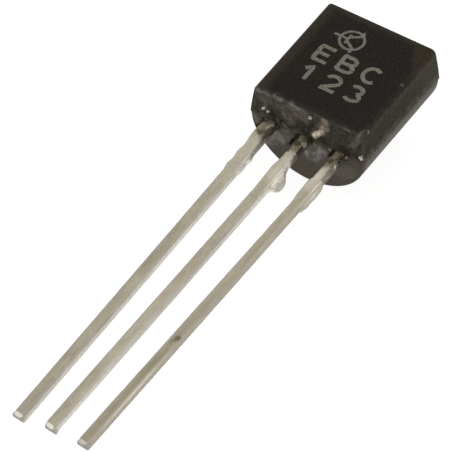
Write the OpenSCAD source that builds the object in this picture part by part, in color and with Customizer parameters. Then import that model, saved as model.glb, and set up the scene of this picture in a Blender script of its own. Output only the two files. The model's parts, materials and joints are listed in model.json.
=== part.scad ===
// TO-92 transistor, lying on its rounded back with the flat up.
//
// Every piece is drawn upright first: the leads hang down, X runs along the row of
// leads as seen from the flat, Y runs from the flat to the rounded back, and Z = 0 is
// the bottom edge of the flat. lay_down() then puts the whole part on its back, so that
// it rests on the case's lower back rim and on the tips of its leads.

/* [Case] */
// Width over the line where the two mould halves meet
case_w = 4.34; // [4.2:0.02:5]
// Height of the flat, from the lead end to the far end
case_h = 4.4; // [4:0.02:5]
// Depth from the flat to the crown of the rounded back
case_d = 3.2; // [3:0.02:3.8]
// Width of the flat, measured to the corners before they are rounded
flat_w = 4.0; // [3.6:0.02:4.1]
// Depth of the front mould half, from the flat to the front faces of the leads
front_d = 1.18; // [0.95:0.01:1.3]
// Radius of the two upright corners of the flat
flat_corner_r = 0.14; // [0.05:0.01:0.3]
// Radius of the four corners of the case as seen from the flat
rim_corner_r = 0.1; // [0.04:0.01:0.2]
// Draft of both ends in the front mould half (degrees)
end_draft = 2.5; // [0.5:0.5:4]
// Draft of both ends in the back mould half (degrees)
back_draft = 1; // [0.5:0.5:4]
// How far the back mould half stands in from the front one
part_step = 0.02; // [0.005:0.005:0.04]

/* [Gate scar] */
// Width of the broken resin gate
gate_w = 0.26; // [0.15:0.01:0.4]
// Length of the gate scar, from the parting line towards the flat
gate_l = 0.66; // [0.4:0.02:0.8]
// Height of the broken stub at the parting line
gate_h = 0.08; // [0.03:0.01:0.15]
// How deep the scar's wedge starts inside the case
gate_root = 0.1; // [0.05:0.01:0.2]
// Height of the scar's thin end, towards the flat
gate_tail = 0.02; // [0.01:0.005:0.04]
// Distance of the gate from the middle lead's axis
gate_off = 0.31; // [0.25:0.01:0.5]
// Angle at which the gate broke away (degrees)
gate_turn = 32; // [0:1:40]

/* [Blisters] */
// Diameter of the two low resin blisters on the lead end
blister_d = 0.66; // [0.3:0.02:0.7]
// Height of a blister
blister_h = 0.035; // [0.01:0.005:0.06]
// Distance of the blisters behind the parting line
blister_back = 0.64; // [0.4:0.02:0.8]
// Distance of each blister from the axis of the lead beside it
blister_off = 0.3; // [0.2:0.01:0.4]

/* [Leads] */
// Distance between neighbouring leads
pitch = 1.27; // [1.2:0.01:1.32]
// Width of a lead
lead_w = 0.37; // [0.3:0.01:0.45]
// Thickness of the lead frame sheet
lead_t = 0.3; // [0.2:0.01:0.5]
// Sideways offset of the lead frame from the middle of the case
frame_shift = -0.04; // [-0.1:0.01:0.1]
// Width of the emitter lead between the case and the dambar cut
root_w = 0.45; // [0.4:0.01:0.5]
// Reach of the leads below the flat's edge
lead_l = 14.34; // [13:0.01:15]
// How much longer the emitter lead was cut
emitter_trim = 0.11; // [-0.15:0.01:0.15]
// How much longer the base lead was cut
base_trim = -0.04; // [-0.15:0.01:0.15]
// Distance from the flat's edge to the middle of the cut dambar
dambar_z = 1.95; // [1.8:0.01:2.4]
// Height of the cut dambar
dambar_h = 0.9; // [0.6:0.02:1]
// How far the cut ends of the dambar stand out
stub = 0.055; // [0.02:0.005:0.12]
// How far the torn tab on the base lead stands out
burr = 0.285; // [0.1:0.005:0.35]
// Thickness of the torn edges, which the blades left at the back of the sheet
torn_t = 0.15; // [0.08:0.01:0.2]
// Slant of the sheared tips through the sheet (degrees)
tip_slant = 12; // [4:1:20]
// Slant of the sheared tips across the lead (degrees)
tip_skew = 8; // [0:1:15]
// How far the shear drew the back edge of the emitter lead's tip out
tip_flare = 0.1; // [0:0.01:0.15]
// Height over which the tips are drawn out
flare_h = 0.2; // [0.1:0.01:0.4]

/* [Lead frame inside the case] */
// Width of the paddle that carries the die
paddle_w = 2.1; // [1.8:0.05:2.3]
// Height of the paddle
paddle_h = 1.35; // [1.1:0.05:1.5]
// Distance from the case's lead end to the paddle
paddle_z = 2.1; // [2:0.05:2.3]
// Diameter of the hole that locks the paddle in the resin
lock_d = 0.4; // [0.3:0.02:0.5]
// Width of a bond post
post_w = 0.76; // [0.6:0.02:0.85]
// Height of a bond post
post_h = 0.5; // [0.35:0.05:0.6]
// Distance from the case's lead end to the top of the bond posts
post_z = 1.7; // [1.4:0.05:1.8]

/* [Die and bond wires] */
// Side of the square die
die_w = 0.46; // [0.35:0.01:0.55]
// Place of the die on the paddle, as a share of the paddle's width and height
die_at = [0.42, 0.45];
// Place of the bond pads beside the middle of the die, as a share of the die's width
pad_at = 0.22; // [0.1:0.01:0.3]
// Place of a stitch on its post, as shares of the post's width and height
stitch_at = [0.15, 0.4];
// Thickness of the die
die_t = 0.2; // [0.15:0.01:0.3]
// Thickness of the die attach
attach_t = 0.02; // [0.01:0.005:0.04]
// How far the die attach shows around the die
attach_rim = 0.04; // [0.02:0.01:0.08]
// Diameter of the bond wire
wire_d = 0.03; // [0.025:0.005:0.05]
// Height of the wire loop above the die
loop_h = 0.22; // [0.15:0.01:0.3]
// Diameter of the ball at the die end of a wire
ball_d = 0.09; // [0.08:0.01:0.11]
// Thickness of the squashed ball
ball_t = 0.025; // [0.02:0.005:0.04]

/* [Hidden] */
$fn = 96;
over = 0.5;          // how far a cutting tool runs past what it cuts
blade_h = 2;         // height and depth of the shear blade

// Case
back_r = case_w / 2 - part_step;
back_y = case_d - back_r;                          // axis of the rounded back
front_drop = front_d * tan(end_draft);             // the ends swell this much to the parting line
back_drop = (case_d - front_d) * tan(back_draft);  // and draw in this much behind it
rim_z = back_drop + part_step - front_drop;        // lower back rim above the flat's edge
side_lean = atan((case_w - flat_w) / 2 / front_d);
corner_t = flat_corner_r / tan((90 + side_lean) / 2);

// Leads: their lengths, nominal places and the small sideways set of each one, as
// [distance below the flat's edge, sideways offset]
emitter_l = lead_l + emitter_trim;
base_l = lead_l + base_trim;
collector_l = lead_l;
x_emitter = frame_shift - pitch;
x_base = frame_shift;
x_collector = frame_shift + pitch;
emitter_set = [[0, -0.005], [2.2, 0], [6.8, 0.078], [9.8, 0.107], [emitter_l, 0.148]];
base_set = [[0, -0.02], [2.6, -0.013], [6.8, -0.016], [9.8, -0.04], [base_l, -0.093]];
collector_set = [[0, 0.015], [4.5, 0.026], [7.8, -0.028], [collector_l, -0.168]];
back_face = front_d + lead_t;                      // back faces of the leads
anchor = 0.6;                                      // start of the lead outline inside the case

// What stands out from the sides of a lead through its whole thickness, as
// [distance below the flat's edge, stand-out]
bar_top = dambar_z - dambar_h / 2;
bar_end = dambar_z + dambar_h / 2;
root_out = root_w - lead_w;
plain_side = [[-anchor, 0]];
emitter_left = [[-anchor, root_out], [bar_top - 0.65, root_out], [bar_top - 0.15, 0.015],
                [bar_top + 0.1, stub * 0.8], [bar_top + 0.22, stub], [dambar_z + 0.05, 0.005],
                [dambar_z + 0.35, stub * 0.85], [bar_end, 0.03], [bar_end + 0.2, 0]];
base_left = [[-anchor, 0], [bar_top - 0.1, 0], [bar_top + 0.15, 0.035],
             [dambar_z + 0.2, 0.015], [bar_end + 0.2, 0]];
collector_left = [[-anchor, 0], [bar_top - 0.15, 0], [bar_top + 0.05, stub],
                  [dambar_z, stub * 0.7], [bar_end - 0.1, stub * 0.6], [bar_end + 0.2, 0]];

// What stands out at the back of the sheet only, where the blades tore it
emitter_torn = [[bar_top - 0.1, 0], [bar_top + 0.2, stub * 1.4], [bar_top + 0.4, stub * 0.6],
                [dambar_z + 0.15, stub * 1.1], [bar_end - 0.1, stub * 1.1], [bar_end + 0.15, 0]];
base_torn = [[bar_top - 0.1, 0], [bar_top + 0.1, burr * 0.18], [bar_top + 0.3, burr * 0.66],
             [dambar_z, burr * 0.9], [dambar_z + 0.18, burr], [bar_end - 0.12, burr * 0.92],
             [bar_end - 0.03, burr * 0.6], [bar_end, burr * 0.1], [bar_end + 0.1, 0]];
collector_torn = [[bar_top - 0.12, 0], [bar_top + 0.1, stub], [dambar_z + 0.05, stub * 1.2],
                  [bar_end - 0.2, stub * 0.8], [bar_end, stub], [bar_end + 0.25, 0]];

// Inside the case
paddle_left = x_collector + root_w / 2 - paddle_w;
die_x = paddle_left + paddle_w * die_at[0];
die_z = paddle_z + paddle_h * die_at[1];
die_face = front_d - attach_t - die_t;
post_x_emitter = x_emitter - lead_w / 2 - root_out + post_w / 2;
post_x_base = x_base;
bond_offset = die_w * pad_at;
emitter_bond = [die_x - bond_offset, die_z];
base_bond = [die_x + bond_offset, die_z - bond_offset];
stitch = [post_w * stitch_at[0], -post_h * stitch_at[1]];
emitter_post = [post_x_emitter, post_z] + stitch;
base_post = [post_x_base, post_z] + stitch;

// The part at rest: tilted until the lower back rim and the longest lead's tip touch Z = 0
reach = max(emitter_l, base_l, collector_l) + lead_w / 2 * tan(tip_skew);
tilt = atan((case_d - back_face) / (reach + rim_z));
lift = case_d * cos(tilt) - rim_z * sin(tilt);
far_end = (case_h - rim_z) * cos(tilt) + case_d * sin(tilt);
tip_end = back_face * sin(tilt) - reach * cos(tilt);

case_black = [0.15, 0.145, 0.13];
tinned = [0.72, 0.69, 0.62];

module lay_down() {
    translate([0, -(far_end + tip_end) / 2, lift])
        rotate([tilt, 0, 0]) rotate([-90, 0, 0]) children();
}

// ---- Case: three outlines, one along each axis, and what they have in common ----

module half_front_plan() {
    polygon([[0, 0], [flat_w / 2 - corner_t, 0],
             [flat_w / 2 + corner_t * sin(side_lean), corner_t * cos(side_lean)],
             [case_w / 2, front_d], [0, front_d]]);
    translate([flat_w / 2 - corner_t, flat_corner_r]) circle(flat_corner_r);
}

module plan() {
    half_front_plan();
    mirror([1, 0]) half_front_plan();
    intersection() {
        union() {
            translate([0, back_y]) circle(back_r);
            translate([-back_r, front_d - over]) square([2 * back_r, max(back_y - front_d, 0) + over]);
        }
        translate([-case_w, front_d]) square([2 * case_w, case_d]);
    }
}

module side_profile() {
    polygon([[0, 0], [front_d, -front_drop], [front_d, part_step - front_drop], [case_d, rim_z],
             [case_d, case_h - rim_z], [front_d, case_h + front_drop - part_step],
             [front_d, case_h + front_drop], [0, case_h]]);
}

module front_outline() {
    for (x = [-1, 1], z = [0, 1])
        translate([x * (case_w / 2 - rim_corner_r),
                   z ? case_h + front_drop - rim_corner_r : rim_corner_r - front_drop])
            circle(rim_corner_r);
    translate([-case_w / 2, rim_corner_r - front_drop])
        square([case_w, case_h + 2 * (front_drop - rim_corner_r)]);
    translate([rim_corner_r - case_w / 2, -front_drop])
        square([case_w - 2 * rim_corner_r, case_h + 2 * front_drop]);
}

module case_form() {
    intersection() {
        translate([0, 0, -over]) linear_extrude(case_h + 2 * over) plan();
        rotate([90, 0, 90]) translate([0, 0, -case_w]) linear_extrude(2 * case_w) side_profile();
        rotate([90, 0, 0]) translate([0, 0, -case_d - over]) linear_extrude(case_d + 2 * over)
            front_outline();
    }
}

// The resin gate broke off beside the middle lead and left a wedge on the lead end
module gate_scar() {
    translate([x_base + gate_off, front_d, 0]) rotate([0, 0, gate_turn])
        rotate([90, 0, 90]) translate([0, 0, -gate_w / 2]) linear_extrude(gate_w)
            polygon([[-gate_l, gate_root], [-gate_l, -gate_tail], [-gate_w, -front_drop - gate_h],
                     [-gate_w / 2, -front_drop - gate_h], [-gate_w / 2, gate_root]]);
}

// Two low smooth blisters of resin stand behind the parting line, beside the leads
module blisters() {
    ball_r = (pow(blister_d / 2, 2) + pow(blister_h, 2)) / (2 * blister_h);
    y = front_d + blister_back;
    end_z = part_step - front_drop + blister_back * tan(back_draft);
    for (x = [x_emitter, x_base])
        translate([x + blister_off, y, end_z]) intersection() {
            translate([0, 0, ball_r - blister_h]) sphere(ball_r);
            translate([0, 0, -blister_h]) cylinder(h = 4 * blister_h, d = blister_d);
        }
}

// ---- Lead frame ----

// Points down one side of a lead, from a list of what stands out there; way is -1 on the
// left and 1 on the right
function side_points(x, set, side, way) =
    [for (p = side) [x + lookup(p[0], set) + way * (lead_w / 2 + p[1]), -p[0]]];

function backwards(points) = [for (i = [len(points) - 1 : -1 : 0]) points[i]];

// One lead as a flat outline: its two sides follow the lead's set and what stands out
module lead_outline(x, set, left, right, length) {
    polygon(concat(side_points(x, set, concat(left, [[length, 0]]), -1),
                   backwards(side_points(x, set, concat(right, [[length, 0]]), 1))));
}

// A torn edge as a flat outline, from the lead's axis to what stands out on one side
module torn_outline(x, set, side, way) {
    axis = [for (p = side) [x + lookup(p[0], set), -p[0]]];
    polygon(concat(side_points(x, set, side, way), backwards(axis)));
}

// Stands an outline up in the plane of the lead frame, at the back faces of the leads
module sheet(thickness = lead_t) {
    translate([0, back_face, 0]) rotate([90, 0, 0]) linear_extrude(thickness) children();
}

// What the slanted shear blade takes off a tip, so that its back right corner stays longest
module shear(x, set, length) {
    translate([x + lookup(length, set), back_face, -length]) rotate([-tip_slant, tip_skew, 0])
        translate([-pitch / 2, -blade_h, -blade_h]) cube([pitch, blade_h + over, blade_h]);
}

// One lead outside the case: its outline, its torn edge and its sheared tip; flares says how
// far the tip's back edge is drawn out to the left and to the right
module lead(x, set, left, right, torn, length, flares) {
    difference() {
        union() {
            sheet() lead_outline(x, set, left, right, length + over);
            sheet(torn_t) torn_outline(x, set, torn, 1);
            for (side = [0, 1])
                if (flares[side] > 0)
                    sheet(torn_t) torn_outline(x, set,
                        [[length - flare_h, 0], [length - flare_h / 4, flares[side]],
                         [length + over, flares[side]]], side ? 1 : -1);
        }
        shear(x, set, length);
    }
}

module emitter_form() {
    lead(x_emitter, emitter_set, emitter_left, plain_side, emitter_torn, emitter_l,
         [tip_flare, 0]);
    sheet() {
        translate([x_emitter + emitter_set[0][1] - lead_w / 2 - root_out, anchor - over])
            square([root_w, post_z - anchor + over]);
        translate([post_x_emitter - post_w / 2, post_z - post_h]) square([post_w, post_h]);
    }
}

module base_form() {
    lead(x_base, base_set, base_left, plain_side, base_torn, base_l,
         [tip_flare / 2, tip_flare / 2]);
    sheet() {
        translate([x_base + base_set[0][1] - lead_w / 2, anchor - over])
            square([lead_w, post_z - anchor + over]);
        translate([post_x_base - post_w / 2, post_z - post_h]) square([post_w, post_h]);
    }
}

module collector_form() {
    lead(x_collector, collector_set, collector_left, plain_side, collector_torn, collector_l,
         [tip_flare * 0.7, 0]);
    sheet() difference() {
        union() {
            translate([x_collector + collector_set[0][1] - lead_w / 2, anchor - over])
                square([lead_w, paddle_z - anchor + 2 * over]);
            translate([paddle_left, paddle_z]) square([paddle_w, paddle_h]);
        }
        translate([x_collector + root_w / 2 - lock_d, paddle_z + paddle_h / 2]) circle(d = lock_d);
    }
}

// ---- Die and bond wires ----

module die_form() {
    translate([die_x - die_w / 2, die_face, die_z - die_w / 2]) cube([die_w, die_t, die_w]);
}

module attach_form() {
    side = die_w + 2 * attach_rim;
    translate([die_x - side / 2, front_d - attach_t, die_z - side / 2]) cube([side, attach_t, side]);
}

// Centre of the circle through three points
function circle_centre(a, b, c) =
    let (d = 2 * (a[0] * (b[1] - c[1]) + b[0] * (c[1] - a[1]) + c[0] * (a[1] - b[1])),
         aa = a * a, bb = b * b, cc = c * c)
    [(aa * (b[1] - c[1]) + bb * (c[1] - a[1]) + cc * (a[1] - b[1])) / d,
     (aa * (c[0] - b[0]) + bb * (a[0] - c[0]) + cc * (b[0] - a[0])) / d];

// A wire in its own upright plane: from the die's face, over the loop, down to the post
module wire_form(bond, post) {
    run = norm(post - bond);
    rise = front_d - die_face;
    centre = circle_centre([0, rise], [run / 2, rise + loop_h], [run, 0]);
    loop_r = norm(centre - [run, 0]);
    start = atan2(-centre[1], run - centre[0]);
    end = atan2(rise - centre[1], -centre[0]);
    difference() {
        translate([bond[0], front_d, bond[1]])
            rotate([0, atan2(post[1] - bond[1], bond[0] - post[0]), 0]) rotate([0, 0, 180]) {
                translate(centre) rotate([0, 0, start - 1]) rotate_extrude(angle = end - start + 2)
                    translate([loop_r, 0]) circle(d = wire_d, $fn = 24);
                translate([0, rise, 0]) rotate([-90, 0, 0]) cylinder(h = ball_t, d = ball_d);
                translate([run, 0, 0]) rotate([-90, 0, 0]) cylinder(h = ball_t / 2, d = ball_d);
            }
        die_form();
        sheet() square(2 * case_h, center = true);
    }
}

// ---- Nodes ----

module body() {
    color(case_black) lay_down() difference() {
        union() {
            case_form();
            gate_scar();
            blisters();
        }
        emitter_form();
        base_form();
        collector_form();
        attach_form();
        die_form();
        wire_form(emitter_bond, emitter_post);
        wire_form(base_bond, base_post);
    }
}

module lead_emitter() {
    color(tinned) lay_down() emitter_form();
}

module lead_base() {
    color(tinned) lay_down() base_form();
}

module lead_collector() {
    color(tinned) lay_down() collector_form();
}

module silicon_die() {
    color([0.35, 0.37, 0.42]) lay_down() die_form();
}

module die_attach() {
    color([0.62, 0.6, 0.55]) lay_down() attach_form();
}

module bond_wire_emitter() {
    color([0.9, 0.72, 0.3]) lay_down() wire_form(emitter_bond, emitter_post);
}

module bond_wire_base() {
    color([0.9, 0.72, 0.3]) lay_down() wire_form(base_bond, base_post);
}

body();
lead_emitter();
lead_base();
lead_collector();
silicon_die();
die_attach();
bond_wire_emitter();
bond_wire_base();
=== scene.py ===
import json
import math

import bmesh
import bpy
import numpy as np
from mathutils import Matrix, Vector, noise
from mathutils.bvhtree import BVHTree


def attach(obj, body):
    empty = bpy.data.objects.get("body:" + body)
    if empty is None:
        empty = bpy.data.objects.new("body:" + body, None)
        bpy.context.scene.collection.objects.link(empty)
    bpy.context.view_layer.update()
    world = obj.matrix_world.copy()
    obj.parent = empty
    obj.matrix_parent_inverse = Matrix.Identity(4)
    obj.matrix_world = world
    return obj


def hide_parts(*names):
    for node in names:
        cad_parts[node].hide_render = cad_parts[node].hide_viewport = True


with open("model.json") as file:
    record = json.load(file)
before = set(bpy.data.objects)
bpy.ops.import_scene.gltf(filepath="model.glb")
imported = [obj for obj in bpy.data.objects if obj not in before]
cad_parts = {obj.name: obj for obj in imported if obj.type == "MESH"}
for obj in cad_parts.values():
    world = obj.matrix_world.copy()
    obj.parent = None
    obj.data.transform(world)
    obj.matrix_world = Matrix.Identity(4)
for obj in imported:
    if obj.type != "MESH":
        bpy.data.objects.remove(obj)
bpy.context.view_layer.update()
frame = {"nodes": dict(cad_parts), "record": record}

# ---- How the transistor lies ----
# Every piece is drawn upright in millimetres, as the part's source draws it: X runs along
# the row of leads, Y from the flat to the rounded back, and Z = 0 is the flat's lower edge.
# The mount on the flat says where that drawing lies in the frame.
MM = 0.001
case_h = 4.4
flat_mount = next(m for m in frame["record"]["mounts"] if m["name"] == "flat_front")
flat_out = Vector(flat_mount["axis"]).normalized()
up_case = Vector((0, flat_out.z, -flat_out.y))
foot = Vector(flat_mount["pos_m"]) - up_case * case_h / 2 * MM
laid = Matrix((Vector((1, 0, 0)), -flat_out, up_case)).transposed().to_4x4()
laid = Matrix.Translation(foot) @ laid @ Matrix.Scale(MM, 4)

# ---- The three leads ----
# Stamped from copper-alloy sheet as one frame, moulded in, dipped in tin and cut apart. Tin
# rounds the edges and dulls in long streaks, resin that bled along the roots left brown
# stains, and the blades tore the back of the sheet and left drawn-out tips.
lead_w = 0.37
sheet_t = 0.3
front_d = 1.18
back_face = front_d + sheet_t
edge_r = 0.05
tip_slant = math.radians(12)
tip_skew = math.radians(8)
tip_run = 0.3
tip_edge = 0.018
# heights in the rounded end of a tip, in tip_edges, and how far the section shrinks there
tip_rounding = ((1, 0), (0.3, 0.03), (0.05, 0.09), (0, 0.13))
flare_h = 0.2
tin_lumps = 0.016
lump_waves = (5, 5, 3)
edge_points = 6
section_points = 64
fine_step = 0.03
plain_step = 0.05
dambar_end = -2.9
leads = {
    # flares: how far the tip is drawn out, left and right; wear: how short it wore; gum and
    # film: how far resin crept down the right side; film_depth: how dark the film is; dirt: on
    # the face; shine: heights on the lead, and how bright its right side is there
    "lead_emitter": {
        "flares": (0.1, 0), "wear": 0.075, "gum": 0.53, "film": 1.57, "film_depth": 0.4,
        "dirt": 0.1, "shine": ((-7.5, 0.7), (-5.8, 0.95), (-4.4, 0.75), (0, 0.65)),
    },
    "lead_base": {
        "flares": (0.05, 0.05), "wear": 0.07, "gum": 0.8, "film": 1.2, "film_depth": 0.92,
        "dirt": 0,
        "shine": ((-13, 0.9), (-10.5, 0.6), (-7, 0.35), (-5, 0.65), (-3.3, 0.85), (0, 0.72)),
    },
    "lead_collector": {
        "flares": (0.07, 0), "wear": 0.11, "gum": 0.5, "film": 1.35, "film_depth": 0.98,
        "dirt": 0.45, "shine": ((-14, 0.05), (0, 0.05)),
    },
}
# place and reach of the torn tab's dull face, of its rim and of the worn spot on a cut tip
tab_place = (0.40, back_face - 0.07, -2.15)
tab_reach = (0.24, 0.25, 0.5)
rim_place = (0.44, back_face - 0.1, -1.85)
rim_reach = (0.2, 0.25, 0.5)
worn_place = (-0.04, -0.07, 0)
worn_reach = (0.23, 0.18, 1)
tin_tones = {
    "light": (0.60, 0.555, 0.455, 1), "dark": (0.48, 0.445, 0.36, 1),
    "dull": (0.40, 0.365, 0.275, 1), "rosy": (0.47, 0.375, 0.31, 1),
    "gritty": (0.40, 0.36, 0.28, 1), "soiled": (0.40, 0.345, 0.26, 1),
    "face_edge_highlight": (0.64, 0.605, 0.52, 1), "scored": (0.52, 0.49, 0.42, 1),
    "side_highlight": (0.86, 0.84, 0.78, 1), "fresh": (0.84, 0.79, 0.67, 1),
    "bevel_shade": (0.38, 0.355, 0.30, 1), "upper_side_highlight": (0.95, 0.91, 0.82, 1),
    "film": (0.50, 0.445, 0.33, 1), "side film": (0.23, 0.205, 0.165, 1),
    "gum": (0.012, 0.010, 0.008, 1), "gum edge": (0.068, 0.060, 0.053, 1),
    "left gum": (0.02, 0.017, 0.013, 1), "left gum grit": (0.075, 0.065, 0.052, 1),
    "tab": (0.42, 0.40, 0.33, 1), "burr": (0.40, 0.385, 0.33, 1),
    "cut": (0.36, 0.345, 0.30, 1), "clean cut": (0.78, 0.75, 0.66, 1),
}
root_marks = {
    # colour: marks near the roots, as places x, z with their reach along x and z
    (0.27, 0.235, 0.155, 1): (
        (-1.36, -0.66, 0.15, 0.19), (-0.07, -0.50, 0.18, 0.2), (1.16, -0.58, 0.14, 0.15),
        (-1.46, -0.16, 0.09, 0.12), (0.12, -0.06, 0.14, 0.1), (1.36, -0.30, 0.08, 0.2),
        (-0.21, -0.78, 0.1, 0.2),
    ),
    (0.42, 0.40, 0.33, 1): ((1.46, -1.1, 0.08, 0.4),),
    (0.74, 0.67, 0.54, 1): (
        (-1.48, -0.34, 0.1, 0.2), (-0.20, -0.18, 0.12, 0.15), (-0.11, -0.26, 0.1, 0.12),
        (1.17, -0.24, 0.17, 0.2), (1.10, -0.44, 0.08, 0.12), (0.16, -0.34, 0.07, 0.13),
    ),
    (1.0, 0.96, 0.86, 1): (
        (-1.24, -0.33, 0.12, 0.22), (0.07, -0.38, 0.09, 0.18), (1.46, -0.62, 0.06, 0.08),
        (0.30, -1.86, 0.1, 0.1),
    ),
}
smudges = {
    # colour: soft marks anywhere, as places x, z with their reach and a strength
    (0.17, 0.15, 0.11, 1): (
        (1.20, -9.27, 0.13, 0.15, 0.85), (1.17, -9.37, 0.13, 0.13, 0.5),
        (1.10, -9.50, 0.1, 0.13, 0.35), (1.41, -1.0, 0.12, 0.5, 0.75), (-1.14, -0.65, 0.14, 0.5, 0.85),
    ),
    (1.0, 0.95, 0.82, 1): (
        (1.17, -1.2, 0.25, 0.42, 0.7), (1.19, -1.7, 0.3, 0.5, 0.35), (1.05, -1.2, 0.1, 0.4, 0.9),
        (0.0, -1.15, 0.25, 0.38, 0.45), (0.0, -1.9, 0.3, 0.6, 0.35),
        (-0.03, -10.0, 0.3, 6.0, 0.19), (1.35, -11.9, 0.2, 3.0, 0.35), (1.15, -6.8, 0.2, 3.0, 0.12),
        (-1.2, -9.5, 0.15, 5.0, 0.14),
    ),
}


def add(tree, kind, inputs=None, output=0, **settings):
    """Adds a node, fills its inputs with values or links, and gives one of its outputs."""
    node = tree.nodes.new(kind)
    for name, value in settings.items():
        setattr(node, name, value)
    for name, value in (inputs or {}).items():
        if isinstance(value, bpy.types.NodeSocket):
            tree.links.new(value, node.inputs[name])
        else:
            node.inputs[name].default_value = value
    return node.outputs[output]


def maths(operation, *values):
    """A Math node on up to three numbers or links, in the tree of the first link."""
    tree = next(value.id_data for value in values if isinstance(value, bpy.types.NodeSocket))
    return add(tree, "ShaderNodeMath", dict(enumerate(values)), operation=operation)


def times(*values):
    """The product of numbers or links."""
    product = values[0]
    for value in values[1:]:
        product = maths("MULTIPLY", product, value)
    return product


def swap(amount, first, second):
    """Mixes two colours: amount 0 gives the first and 1 the second."""
    inputs = {0: amount, 6: first, 7: second}
    return add(amount.id_data, "ShaderNodeMix", inputs, 2, data_type="RGBA")


def between(value, low, high, start=0.0, end=1.0):
    """Maps low..high smoothly to start..end."""
    inputs = {"Value": value, 1: low, 2: high, 3: start, 4: end}
    return add(value.id_data, "ShaderNodeMapRange", inputs, interpolation_type="SMOOTHSTEP")


def parts_of(vector):
    """The X, Y and Z of a vector."""
    return add(vector.id_data, "ShaderNodeSeparateXYZ", {0: vector}).node.outputs


def drawn(tree):
    """Object coordinates turned back to the upright drawing, in millimetres."""
    inputs = {
        "Vector": add(tree, "ShaderNodeTexCoord", output="Object"),
        "Location": laid.to_translation(),
        "Rotation": laid.to_euler(),
        "Scale": (MM, MM, MM),
    }
    return add(tree, "ShaderNodeMapping", inputs, vector_type="TEXTURE")


def speckle(place, waves, detail=3.0, roughness=0.5, offset=(0, 0, 0), swirl=0.0):
    """Noise over the drawing; waves is how many there are to a millimetre along each axis."""
    inputs = {"Vector": place, "Scale": waves, "Location": offset}
    spread = add(place.id_data, "ShaderNodeMapping", inputs)
    inputs = {"Vector": spread, "Scale": 1.0, "Detail": detail, "Roughness": roughness}
    inputs["Distortion"] = swirl
    return add(place.id_data, "ShaderNodeTexNoise", inputs)


def near(place, spot, reach):
    """1 at a spot of the drawing, falling softly to 0 at the reach along each axis."""
    inputs = {"Vector": place, "Location": spot, "Scale": reach}
    tree = place.id_data
    from_spot = add(tree, "ShaderNodeMapping", inputs, vector_type="TEXTURE")
    far = add(tree, "ShaderNodeVectorMath", {0: from_spot}, "Value", operation="LENGTH")
    return between(far, 1.0, 0.3)


def finish_of(name):
    """A new material with its tree and shader."""
    material = bpy.data.materials.new(name)
    material.use_nodes = True
    return material, material.node_tree, material.node_tree.nodes["Principled BSDF"]


def set_shader(shader, **values):
    """Sets the shader's sockets, named with underscores, to values or links."""
    for name, value in values.items():
        socket = shader.inputs[name.replace("_", " ")]
        if isinstance(value, bpy.types.NodeSocket):
            shader.id_data.links.new(value, socket)
        else:
            socket.default_value = value


def relief(height, depth):
    """A bump of the given depth in millimetres."""
    inputs = {"Strength": 1.0, "Distance": depth * MM, "Height": height}
    return add(height.id_data, "ShaderNodeBump", inputs)


def grey(level, warmth=0.0):
    """A grey in linear light; warmth lifts red and lowers blue."""
    return (level * (1 + warmth), level, level * (1 - 1.6 * warmth), 1)


tin, tin_tree, tin_shader = finish_of("dipped_tin")
tin_place = drawn(tin_tree)
_, _, tin_z = parts_of(tin_place)
# Streaks down the lead, dull clouds, a rosy blush and grit
streaks = speckle(tin_place, (8, 8, 1.0), 5, 0.6)
clouds = speckle(tin_place, (2.6, 2.6, 0.8), 3, 0.5, (3, 1, 4))
blush = speckle(tin_place, (3, 3, 0.8), 2, 0.5, (7, 2, 9))
grit = speckle(tin_place, (13, 13, 9), 4, 0.7)
blots = speckle(tin_place, (7, 7, 7), 4, 0.7, (1, 8, 2))
tin_colour = swap(between(streaks, 0.36, 0.66), tin_tones["dark"], tin_tones["light"])


def on_lead(name):
    """Reads a number that the points of a lead carry."""
    return add(tin_tree, "ShaderNodeAttribute", output="Fac", attribute_name=name)


def coat(amount, colour):
    """Lays a colour over the tin's colour."""
    return swap(amount, tin_colour, colour)


tin_colour = coat(between(clouds, 0.46, 0.7, 0, 0.6), tin_tones["dull"])
tin_colour = coat(between(blush, 0.54, 0.68, 0, 0.6), tin_tones["rosy"])
tin_colour = coat(between(grit, 0.36, 0.66, 0.5, 0), tin_tones["gritty"])
# Dirt on the face, a painted highlight near its edges, and scores along the cut sides
flank = on_lead("flank")
soiled = times(on_lead("dirt"), between(flank, -0.6, 0.3, 0.35, 1))
tin_colour = coat(soiled, tin_tones["soiled"])
aside = maths("ABSOLUTE", flank)
face_edge_highlight = times(between(aside, 0.35, 0.9), between(aside, 1.0, 0.92, 0.3, 1), 0.5)
tin_colour = coat(face_edge_highlight, tin_tones["face_edge_highlight"])
in_section = add(tin_tree, "ShaderNodeAttribute", output="Vector", attribute_name="section")
_, through, _ = parts_of(in_section)
scored = times(between(aside, 0.9, 0.99), between(grit, 0.35, 0.6, 0, 0.6))
tin_colour = coat(scored, tin_tones["scored"])
# The right side carries a painted highlight, and the tin is fresher towards the roots
side_highlight = times(between(flank, 0.8, 0.95), between(grit, 0.3, 0.6, 0.5, 1))
tin_colour = coat(times(side_highlight, on_lead("shine")), tin_tones["side_highlight"])
fresh = between(tin_z, -6.5, -2.6, 0, 0.35)
fresh = maths("ADD", fresh, between(tin_z, -2.6, -1.0, 0, 0.6))
fresh = times(fresh, between(aside, 1.0, 0.85), between(grit, 0.3, 0.55, 0.4, 0.8))
tin_colour = coat(fresh, tin_tones["fresh"])
# Painted shade on the rounded front edge of the right side, toning down its highlight
bevel_shade = times(between(flank, 0.74, 0.84), between(through, -0.09, -0.12))
bevel_shade = times(bevel_shade, between(tin_z, -1.8, -4.0, 0.2, 0.85))
tin_colour = coat(bevel_shade, tin_tones["bevel_shade"])
# A brighter painted highlight on the right side over the upper part of the lead
upper_side_highlight = times(side_highlight, between(tin_z, -2.7, -1.9), on_lead("shine"))
tin_colour = coat(upper_side_highlight, tin_tones["upper_side_highlight"])
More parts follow.
